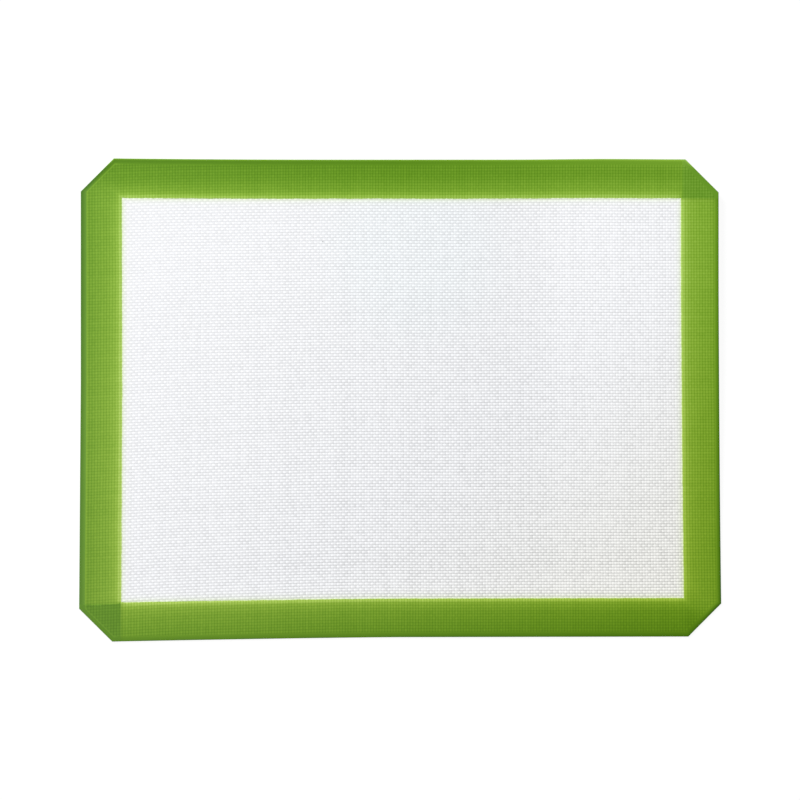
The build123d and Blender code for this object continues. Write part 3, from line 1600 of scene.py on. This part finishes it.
@dataclass(frozen=True)
class ClearSilicone:
    """Clear satin silicone over white woven glass: the mat's bare field.

    Attributes:
        body: colour of the threads, and brightest how far above it the print may go.
        pit_shade, row, knuckle: how much darker the deep gaps and the gaps beside the weft are, and
        how much brighter the tops of the weft threads. This is partly the threads' own look, whiter where
        they lie near the surface, and partly painted shade in the gaps and a painted highlight on the weft
        tops.
        pit_shade_span is the heights between which a gap counts as deep.
        print_left, print_right, print_rear: how much weaker the whole print, with its painted shade and
        highlight, gets from the middle to those edges.
        balance: what evens out the print, so that a stronger one doesn't darken the field.
        slub_depth, knot_depth, cloud_depth: how much threads, crossings and larger patches differ.
        fold_light: painted light, how much paler the field is made at the right end, over fold_light_x and
        fold_light_y, where the mat rises past its old fold and tilts towards the lamps.
        edge_tint_and_shade: how much red, green and blue the field has lost right beside the border, fading
        over edge_tint_and_shade_over: partly the green coat's colour bleeding in, partly painted shade beside
        the coat's step.
        cool_red: how much red is lost in a slightly cooler patch at cool_at, fading over cool_span.
        blue_lost: how much blue the yellowed corner has lost.
    """

    shared: Finishes
    name: str = "clear_silicone_on_weave"
    body: Colour = (0.839, 0.847, 0.868, 1.0)
    brightest: float = 1.165
    pit_shade: float = 0.033
    pit_shade_span: Span = (0.05, 0.6)
    row: float = 0.32
    knuckle: float = 0.30
    balance: float = 0.098
    print_left: float = 0.44
    print_right: float = -0.29
    print_rear: float = 0.32
    slub_depth: float = 0.07
    knot_depth: float = 0.09
    cloud_depth: float = 0.02
    clouds_per_metre: float = 45.0
    fold_light: float = 0.055
    fold_light_x: Span = (60 * MM, 150 * MM)
    fold_light_y: Span = (-250 * MM, 0.0)
    edge_tint_and_shade: Triple = (0.14, 0.05, 0.33)
    edge_tint_and_shade_over: float = 1.5 * MM
    cool_red: float = 0.022
    cool_at: Span = (10 * MM, 93 * MM)
    cool_span: Span = (25 * MM, 75 * MM)
    blue_lost: float = 0.085
    bump: float = 0.072 * MM
    roughness: float = 0.5
    specular: float = 0.2
    specks: tuple[Speck, ...] = (
        Speck(-48.1 * MM, 98.7 * MM, 0.5 * MM, 0.5),
        Speck(-4.9 * MM, -73.0 * MM, 0.45 * MM, 0.4),
        Speck(-74.4 * MM, 98.1 * MM, 0.4 * MM, 0.3),
        Speck(140.5 * MM, -20.4 * MM, 0.4 * MM, 0.3),
    )

    def material(self) -> bpy.types.Material:
        """Builds the material.

        Returns:
            The material.
        """
        board = FinishBoard(self.name, self.shared, self.roughness, self.specular)
        x, y = board.place
        strength = self.strength(board)
        cloud = board.about_nought(board.noise(board.plan, self.clouds_per_metre), self.cloud_depth)
        # Painted light: the right end, most at the rear, is made paler as if tilted towards the lamps past
        # the fold.
        fold_light = board.times(board.ease(x, *self.fold_light_x, 0.0, self.fold_light), board.ease(y, *self.fold_light_y))
        level = board.sum(board.times(self.threads(board), strength), cloud, fold_light, 1.0)
        level = board.times(level, self.past_specks(board))
        colour = board.levelled(self.body, board.math("MINIMUM", level, self.brightest))
        # Beside the border the field is tinted and darkened: partly the green coat's colour, partly painted
        # shade at its step.
        nearest = board.most(*(board.ruler[f"Past {side}"] for side in ("left", "right", "front", "rear")))
        beside = board.fade(board.times(nearest, -1.0), self.edge_tint_and_shade_over)
        colour = board.tinted(colour, *(board.less(beside, lost) for lost in self.edge_tint_and_shade))
        patch = board.ease(self.distance(board, self.cool_at), *self.cool_span, -self.cool_red, 0.0)
        colour = board.tinted(colour, board.sum(patch, 1.0), 1.0, 1.0)
        board.bump(board.times(board.weave["Height"], strength), self.bump)
        return board.coloured(board.yellowed(colour, self.blue_lost))

    def strength(self, board: FinishBoard) -> Socket:
        """How strongly the threads print through: 1 in the middle of the mat.

        Args:
            board: the material's board.

        Returns:
            The strength.
        """
        (x, y), mat = board.place, self.shared.plan.mat
        left = board.times(board.math("MINIMUM", x, 0.0), self.print_left / mat.right)
        right = board.times(board.math("MAXIMUM", x, 0.0), -self.print_right / mat.right)
        return board.times(board.sum(left, right, 1.0), board.line(y, self.print_rear / mat.front, 1.0))

    def threads(self, board: FinishBoard) -> Socket:
        """What the threads add to the light, at full strength: their own look, with painted shade in the gaps
        and a
            painted highlight on the weft tops.

        Args:
            board: the material's board.

        Returns:
            The light that they add.
        """
        weave = board.weave
        # Darker gaps and brighter weft tops: partly the threads' own look, partly painted shade and a painted
        # highlight.
        return board.sum(
            board.ease(weave["Height"], *self.pit_shade_span, -self.pit_shade, 0.0),
            board.times(weave["Weft gap"], -self.row),
            board.times(weave["Knuckle"], self.knuckle),
            board.about_nought(weave["Slub"], self.slub_depth),
            board.about_nought(weave["Knot"], self.knot_depth),
            self.balance,
        )

    def distance(self, board: FinishBoard, place: Span) -> Socket:
        """How far a point of the field is from a place."""
        off_x, off_y = (board.minus(here, there) for here, there in zip(board.place, place))
        return board.math("SQRT", board.sum(board.times(off_x, off_x), board.times(off_y, off_y)))

    def past_specks(self, board: FinishBoard) -> Socket:
        """What the light is multiplied by: 1, and less in each speck.

        Args:
            board: the material's board.

        Returns:
            The factor.
        """
        level = 1.0
        for speck in self.specks:
            away = self.distance(board, (speck.x, speck.y))
            level = board.times(level, board.ease(away, speck.radius / 2, speck.radius, 1 - speck.depth, 1.0))
        return level


@dataclass(frozen=True)
class AlongArms:
    """A number that changes along the border: its values at the start, middle and end of each arm.

    Attributes:
        left, right: from the front to the rear.
        front, rear: from the left to the right.
    """

    left: Triple
    right: Triple
    front: Triple
    rear: Triple


@dataclass(frozen=True)
class GreenSilicone:
    """Translucent green silicone over the woven cloth: the mat's border.

    Attributes:
        tones: how pale the arms are, since the coat isn't equally thick all round. turn is how wide the
            blend is where the coat runs round its corner.
        lap_share: how pale a lapped corner is beside the single coat, lap_cool_left and lap_cool_right how
            cool, and lap_hides how much of the strip without cloth it hides, and lap_levels of the thinning
            across.
        lap_step: how wide the step shows where a lap begins, and lap_start how much of it there is at its
            edge.
        haze: how much white haze there is in the arms, and seal_haze how much more in the strip on the
            left, which begins over left_strip.
        front_red: how much redder the coat gets towards the front, per metre.
        across: paleness gained for each metre inwards from the middle of an arm.
        seal: how much darker the strip without cloth is at the outline, and seal_cloth at the cloth's edge,
            which shows over cloth_step. corner_seal is how much more at the rear left corner, over
            corner_span.
        rear_edge_highlight: a painted highlight, how much paler the very outline is at the rear, where the
        rounded edge faces the light, over rear_edge_highlight_width, near rear_strip.
        rear_outer: how much paler the outer part of the rear arm is from left to right, over
            rear_outer_width.
        left_edge_highlight: a painted highlight, how much paler the very edge of the cloth is on the left,
            the
        side towards the light, over left_edge_highlight_width and left_edge_highlight_start.
        lip_glow: how much paler the coat gets towards its thin inner edge, fading over lip_over, and
            lip_step how much more within lip_span of it. lip_less_right is the share that's missing on the
            right, over lip_right_span.
        warp_print, weft_print, knuckle_print: how much the threads' gaps darken and their tops lighten the
            coat. gap_balance is what evens out the gaps, and print_edge how far inside the cloth the print
            is full.
    """

    shared: Finishes
    arms: Arms
    tones: AlongArms = AlongArms(
        left=(0.332, 0.352, 0.330),
        right=(0.342, 0.386, 0.412),
        front=(0.326, 0.297, 0.257),
        rear=(0.300, 0.288, 0.333),
    )
    seal: AlongArms = AlongArms(
        left=(0.25, 0.34, 0.38),
        right=(0.69, 0.53, 0.36),
        front=(0.18, 0.21, 0.26),
        rear=(0.24, 0.12, 0.0),
    )
    haze: AlongArms = AlongArms(
        left=(0.016, 0.015, 0.012),
        right=(0.003, 0.0, 0.0),
        front=(0.013, 0.006, 0.0),
        rear=(0.009, 0.002, 0.002),
    )
    turn: float = 14 * MM
    seal_haze: float = 0.003
    seal_coolness: float = 0.6
    left_strip: Span = (15 * MM, 22 * MM)
    front_red: float = 0.28
    lap_share: float = 0.76
    lap_cool_left: float = 0.38
    lap_cool_right: float = 0.30
    lap_hides: float = 0.9
    lap_levels: float = 0.8
    lap_step: float = 1.8 * MM
    lap_start: float = 0.5
    across: float = 3.6
    middle: float = 12 * MM
    seal_cloth: float = 0.05
    seal_width: float = 3.0 * MM
    cloth_step: Span = (-0.1 * MM, 0.2 * MM)
    corner_seal: float = 0.22
    corner_span: Span = (2 * MM, 8 * MM)
    rear_edge_highlight: float = 0.12
    rear_edge_highlight_width: float = 1.4 * MM
    rear_strip: Span = (18 * MM, 22 * MM)
    rear_outer: Triple = (0.0, 0.012, 0.085)
    rear_outer_width: float = 8.0 * MM
    left_edge_highlight: float = 0.055
    left_edge_highlight_width: float = 0.6 * MM
    left_edge_highlight_start: Span = (0.0, 5 * MM)
    lip_glow: float = 0.20
    lip_over: float = 2.6 * MM
    lip_step: float = 0.04
    lip_span: Span = (1.5 * MM, 2.5 * MM)
    lip_less_right: float = 0.3
    lip_right_span: Span = (-5 * MM, 0.0)
    warp_print: float = 0.25
    weft_print: float = 0.18
    gap_balance: float = 1 / 3
    knuckle_print: float = 0.03
    print_edge: float = 0.8 * MM
    slub_depth: float = 0.09
    knot_depth: float = 0.05
    cloud_depth: float = 0.06
    clouds_per_metre: float = 60.0
    blue_lost: float = 0.34
    bump: float = 0.03 * MM
    roughness: float = 0.42
    specular: float = 0.1

    def material(self) -> bpy.types.Material:
        """Builds the material.

        Returns:
            The material.
        """
        board = FinishBoard(f"green_silicone_{self.arms.value}", self.shared, self.roughness, self.specular)
        (x, y), mat = board.place, self.shared.plan.mat
        lap = self.lap(board)
        outside = board.times(board.ruler["In cloth"], -1.0)
        no_cloth = board.ease(outside, *self.cloth_step)
        seal = board.sum(self.by_arm(board, self.seal), self.corner_darkness(board))
        seal = board.run(outside, 0.0, self.seal_width, self.seal_cloth, seal)
        seal = board.times(seal, no_cloth, board.less(lap, self.lap_hides))
        tone = self.by_arm(board, self.tones)
        tone = board.times(tone, board.less(lap, 1 - self.lap_share), board.less(seal, 1.0))
        gained = (self.across_paleness(board, lap), self.lip_paleness(board), self.rear_paleness(board))
        tone = board.sum(tone, *gained)
        paleness = board.times(tone, self.printed(board))
        left_seal = board.times(no_cloth, board.ease(board.ruler["Past left"], *self.left_strip))
        lap_cool = board.run(x, mat.left, mat.right, self.lap_cool_left, self.lap_cool_right)
        coolness = board.most(board.times(lap, lap_cool), board.times(left_seal, self.seal_coolness))
        reddened = board.tinted(board.green(paleness, coolness), board.less(y, self.front_red), 1.0, 1.0)
        haze = board.line(left_seal, self.seal_haze, self.by_arm(board, self.haze))
        board.bump(board.times(board.weave["Height"], self.on_cloth(board)), self.bump)
        return board.coloured(board.blend(haze, board.yellowed(reddened, self.blue_lost), grey(1.0)))

    def on_cloth(self, board: FinishBoard) -> Socket:
        """Rises from 0 to 1 just inside the cloth's edge."""
        return board.ease(board.ruler["In cloth"], 0.0, self.print_edge)

    def corner_darkness(self, board: FinishBoard) -> Socket:
        """How much darker the strip without cloth is at the corner that the rear left coat runs round.

        Args:
            board: the material's board.

        Returns:
            The darkness, nought for the other coat.
        """
        if self.arms is Arms.FRONT_RIGHT:
            return board.constant(0.0)
        both = board.math("MINIMUM", board.ruler["Past left"], board.ruler["Past rear"])
        return board.ease(both, *self.corner_span, 0.0, self.corner_seal)

    def lap(self, board: FinishBoard) -> Socket:
        """Is 1 where this coat lies over the other one, and fades at its steps.

        Args:
            board: the material's board.

        Returns:
            The share, nought for the coat that lies underneath.
        """
        if self.arms is Arms.REAR_LEFT:
            return board.constant(0.0)
        within = board.ease(board.past_edge(Arms.FRONT_RIGHT), 0.0, self.lap_step, self.lap_start, 1.0)
        return board.times(self.shared_ground(board), within)

    def shared_ground(self, board: FinishBoard) -> Socket:
        """Is 1 where the other coat's arms run too."""
        other = Arms.FRONT_RIGHT if self.arms is Arms.REAR_LEFT else Arms.REAR_LEFT
        return board.ease(board.past_edge(other), -self.lap_step / 2, self.lap_step / 2)

    def along(self, board: FinishBoard, place: Socket, ends: Span, values: Triple) -> Socket:
        """Runs through three values from one end of an arm to the other.

        Args:
            board: the material's board.
            place: the place along the arm.
            ends: where the arm ends.
            values: the number at its start, middle and end.

        Returns:
            The number.
        """
        (low, high), (start, middle, end) = ends, values
        half = (low + high) / 2
        first = board.run(place, low, half, start, middle)
        return board.sum(first, board.run(place, half, high, 0.0, end - middle))

    def by_arm(self, board: FinishBoard, values: AlongArms) -> Socket:
        """A number given arm by arm, blended round the corner that the coat runs through.

        Args:
            board: the material's board.
            values: the number along each arm.

        Returns:
            The number.
        """
        (x, y), past, mat = board.place, board.ruler, self.shared.plan.mat
        if self.arms is Arms.REAR_LEFT:
            upright, level = values.left, values.rear
            lead = board.minus(past["Past rear"], past["Past left"])
        else:
            upright, level = values.right, values.front
            lead = board.minus(past["Past front"], past["Past right"])
        by_y = self.along(board, y, (mat.front, mat.rear), upright)
        by_x = self.along(board, x, (mat.left, mat.right), level)
        return board.sum(by_y, board.times(board.ease(lead, -self.turn, self.turn), board.minus(by_x, by_y)))

    def across_paleness(self, board: FinishBoard, lap: Socket) -> Socket:
        """What the paleness gains across an arm: a slow thinning inwards and a painted highlight along the
            cloth's edge on the left.

        Args:
            board: the material's board.
            lap: where this coat lies over the other one.

        Returns:
            The gain.
        """
        slope = board.times(board.minus(board.ruler["From outline"], self.middle), self.across)
        slope = board.times(slope, board.less(lap, self.lap_levels))
        # Painted highlight along the cloth's edge on the left, towards the light.
        inside = board.math("ABSOLUTE", board.minus(board.ruler["In cloth"], self.left_edge_highlight_width / 2))
        line = board.ease(inside, 0.0, self.left_edge_highlight_width, self.left_edge_highlight, 0.0)
        return board.sum(slope, board.times(line, board.ease(board.ruler["Past left"], *self.left_edge_highlight_start)))

    def lip_paleness(self, board: FinishBoard) -> Socket:
        """What the paleness gains towards the coat's thin inner edge.

        Args:
            board: the material's board.

        Returns:
            The gain.
        """
        inner = board.past_edge(self.arms)
        glow = board.times(board.fade(inner, self.lip_over), self.lip_glow)
        step = board.ease(inner, *self.lip_span, self.lip_step, 0.0)
        near_right = board.ease(board.ruler["Past right"], *self.lip_right_span)
        alone = board.less(self.shared_ground(board), 1.0)
        return board.times(board.sum(glow, step), alone, board.less(near_right, self.lip_less_right))

    def rear_paleness(self, board: FinishBoard) -> Socket:
        """What the paleness gains along the rear edge: a painted highlight on the very outline, and a paler
        outer
            strip.

        Args:
            board: the material's board.

        Returns:
            The gain.
        """
        (x, y), mat = board.place, self.shared.plan.mat
        # Painted highlight on the rear outline, which faces the light.
        line = board.ease(board.ruler["From outline"], 0.0, self.rear_edge_highlight_width, self.rear_edge_highlight, 0.0)
        line = board.times(line, board.ease(board.ruler["Past rear"], *self.rear_strip))
        outer = board.ease(board.minus(mat.rear, y), 0.0, self.rear_outer_width, 1.0, 0.0)
        return board.line(outer, self.along(board, x, (mat.left, mat.right), self.rear_outer), line)

    def printed(self, board: FinishBoard) -> Socket:
        """What the paleness is multiplied by for the threads under the coat and its own unevenness.

        Args:
            board: the material's board.

        Returns:
            The factor.
        """
        weave = board.weave
        threads = board.sum(
            board.line(weave["Warp gap"], -self.warp_print, self.warp_print * self.gap_balance),
            board.line(weave["Weft gap"], -self.weft_print, self.weft_print * self.gap_balance),
            board.times(weave["Knuckle"], self.knuckle_print),
            board.about_nought(weave["Slub"], self.slub_depth),
            board.about_nought(weave["Knot"], self.knot_depth),
        )
        cloud = board.about_nought(board.noise(board.plan, self.clouds_per_metre), self.cloud_depth)
        return board.sum(board.times(threads, self.on_cloth(board)), cloud, 1.0)


@dataclass(frozen=True)
class SealSilicone:
    """Solid green silicone without cloth: the sealed rim, with a painted rear_highlight along the rear edge.
    """

    shared: Finishes
    paleness: float = 0.20
    rear_highlight: float = 0.25
    rear_highlight_span: Span = (130 * MM, 150 * MM)
    coolness: float = 0.5
    cloud_depth: float = 0.06
    clouds_per_metre: float = 120.0
    roughness: float = 0.4
    specular: float = 0.1

    def material(self) -> bpy.types.Material:
        """Builds the material.

        Returns:
            The material.
        """
        board = FinishBoard("seal_silicone", self.shared, self.roughness, self.specular)
        cloud = board.noise(board.plan, self.clouds_per_metre)
        paleness = board.line(cloud, self.cloud_depth, self.paleness - self.cloud_depth / 2)
        # Painted highlight: the rim is made paler along the rear edge, which faces the light.
        paleness = board.sum(paleness, board.ease(board.place[1], *self.rear_highlight_span, 0.0, self.rear_highlight))
        return board.coloured(board.green(paleness, self.coolness))


@dataclass(frozen=True)
class WovenGlass:
    """White plain woven glass fibre, greyer in the gaps between threads: partly open weave, partly painted
    shade.
    """

    shared: Finishes
    crown: Colour = (0.86, 0.87, 0.88, 1.0)
    gap: Colour = (0.45, 0.46, 0.47, 1.0)
    gap_span: Span = (0.0, 0.6)
    roughness: float = 0.7
    specular: float = 0.5

    def material(self) -> bpy.types.Material:
        """Builds the material.

        Returns:
            The material.
        """
        board = FinishBoard("woven_glass", self.shared, self.roughness, self.specular)
        # The gaps between threads are greyer: partly open weave, partly painted shade.
        height = board.ease(board.weave["Height"], *self.gap_span)
        return board.coloured(board.blend(height, self.gap, self.crown))


@dataclass(frozen=True)
class SoftBox:
    """A square lamp that faces the mat's middle. Out of the gloss, it leaves no glare on the silicone."""

    name: str
    place: Triple
    side: float
    power: float
    in_gloss: bool

    def hang(self) -> None:
        """Adds the lamp to the scene."""
        data = bpy.data.lights.new(self.name, "AREA")
        data.energy = self.power
        data.size = self.side
        lamp = bpy.data.objects.new(self.name, data)
        bpy.context.scene.collection.objects.link(lamp)
        lamp.location = self.place
        lamp.rotation_euler = (-lamp.location).to_track_quat("-Z", "Y").to_euler()
        lamp.visible_glossy = self.in_gloss


@dataclass
class Studio:
    """A white table, soft light from all round and more from the rear left, and a camera straight above.

    Attributes:
        image_side, pixels_per_metre, mat_pixel: the photograph's size and scale, and where the mat's middle
            is in it.
        camera_height, sensor: how high the camera hangs, and its sensor's width in millimetres.
        floor_drop, floor_side: how far the table lies under the mat, and how large it is.
        floor_grey: its colour for the light that it sends to the mat.
        floor_shade, floor_glow: its colour and its own light as the camera sees it, which keeps the mat's
            shadow.
        world_strength: how strong the even light is.
        lamps: the two lamps.
    """

    image_side: int = 800
    pixels_per_metre: float = 1596.0
    mat_pixel: Span = (399.75, 398.5)
    camera_height: float = 2.0
    sensor: float = 36.0
    floor_drop: float = 0.05 * MM
    floor_side: float = 6.0
    floor_grey: float = 0.9
    floor_shade: float = 0.10
    floor_glow: float = 0.93
    world_strength: float = 0.30
    lamps: tuple[SoftBox, ...] = (
        SoftBox("near_soft_box", (-1.6, 0.0, 0.8), 0.6, 5.1, True),
        SoftBox("far_soft_box", (-2.2, 2.97, 1.5), 1.4, 277.0, False),
    )

    def place_camera(self) -> None:
        """Hangs the camera over the mat, looking straight down with the rear edge at the top."""
        data = bpy.data.cameras.new("camera")
        data.sensor_width = self.sensor
        data.lens = self.pixels_per_metre * data.sensor_width * self.camera_height / self.image_side
        camera = bpy.data.objects.new("camera", data)
        half = self.image_side / 2
        column, row = self.mat_pixel
        x, y = (half - column) / self.pixels_per_metre, (row - half) / self.pixels_per_metre
        camera.location = (x, y, self.camera_height)
        bpy.context.scene.collection.objects.link(camera)
        bpy.context.scene.camera = camera

    def lay_floor(self) -> None:
        """Lays a white table that shows white to the camera and keeps the mat's shadow."""
        bpy.ops.object.select_all(action="DESELECT")
        bpy.ops.mesh.primitive_plane_add(size=self.floor_side, location=(0.0, 0.0, -self.floor_drop))
        floor = bpy.context.active_object
        floor.name = "floor"
        material = bpy.data.materials.new("white_table")
        material.use_nodes = True
        board = Board(material.node_tree)
        material.node_tree.nodes.clear()
        path = board.add("ShaderNodeLightPath").outputs
        seen = board.most(*(path[f"Is {kind} Ray"] for kind in ("Camera", "Glossy", "Transmission")))
        colour = board.blend(seen, grey(self.floor_grey), grey(self.floor_shade))
        matt = board.add("ShaderNodeBsdfDiffuse", colour)
        glow = board.add("ShaderNodeEmission")
        board.feed_all(glow.inputs, Strength=board.times(seen, self.floor_glow))
        both = board.add("ShaderNodeAddShader", matt.outputs[0], glow.outputs[0])
        board.add("ShaderNodeOutputMaterial", both.outputs[0])
        floor.data.materials.append(material)

    def light(self) -> None:
        """Lights the mat: even light from all round and the lamps."""
        world = bpy.data.worlds.new("studio")
        world.use_nodes = True
        board = Board(world.node_tree)
        world.node_tree.nodes.clear()
        path = board.add("ShaderNodeLightPath").outputs
        strength = board.run(path["Is Camera Ray"], 0.0, 1.0, self.world_strength, 1.0)
        background = board.add("ShaderNodeBackground", grey(1.0), strength)
        board.add("ShaderNodeOutputWorld", background.outputs[0])
        bpy.context.scene.world = world
        for lamp in self.lamps:
            lamp.hang()

    def build(self) -> None:
        """Sets up floor, light, camera and the plain colour view."""
        bpy.context.scene.view_settings.view_transform = "Standard"
        self.lay_floor()
        self.light()
        self.place_camera()


@dataclass
class BakingMat:
    """The whole mat."""

    plan: MatPlan
    table: SheetTable
    shared: Finishes

    def dress(
        self, name: str, model: Callable[[str], Piece], material: bpy.types.Material, node: str
    ) -> Piece:
        """Models one piece, gives it its finish, hangs it on the mat's root and hides the solid it stands
        for.

        Args:
            name: the piece's name.
            model: what models it.
            material: its finish.
            node: the solid it replaces.

        Returns:
            The piece.
        """
        piece = model(name)
        piece.data.materials.clear()
        piece.data.materials.append(material)
        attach(piece, ROOT)
        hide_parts(node)
        log.info("%s: %d points, %d faces", name, len(piece.data.vertices), len(piece.data.polygons))
        return piece

    def build(self) -> None:
        """Builds every piece, from the cloth outwards."""
        clear = ClearSilicone(self.shared).material()
        glass = WovenGlass(self.shared).material()
        cloth = self.dress("woven_cloth", GlassCloth(self.table).model, glass, "glass_cloth")
        for side, word in ((Side.TOP, "top"), (Side.UNDER, "bottom")):
            skin = Skin(self.table, side)
            name, node = f"{word}_skin", f"{word}_silicone_skin"
            self.dress(name, skin.model, clear, node)
        seal = SealSilicone(self.shared).material()
        rim = self.dress("sealed_rim", SealedRim(self.table).model, seal, "edge_seal")
        for arms in Arms:
            green = GreenSilicone(self.shared, arms).material()
            for side, word in ((Side.TOP, "top"), (Side.UNDER, "bottom")):
                name, node = f"{arms.value}_{word}_coat", f"{arms.value}_{word}_border"
                coat = BorderCoat(self.table, side, arms)
                self.dress(name, coat.model, green, node)
        width, length = self.plan.cloth.size
        area = self.plan.cloth.area()


def main() -> None:
    """Builds the mat and its studio."""
    logging.basicConfig(level=logging.INFO, format="%(message)s")
    plan = MatPlan.from_frame()
    weave = Weave()
    table = SheetTable(plan, weave, Lay(plan.mat))
    BakingMat(plan, table, Finishes.build(plan, weave)).build()
    Studio().build()


if __name__ == "__main__":
    main()
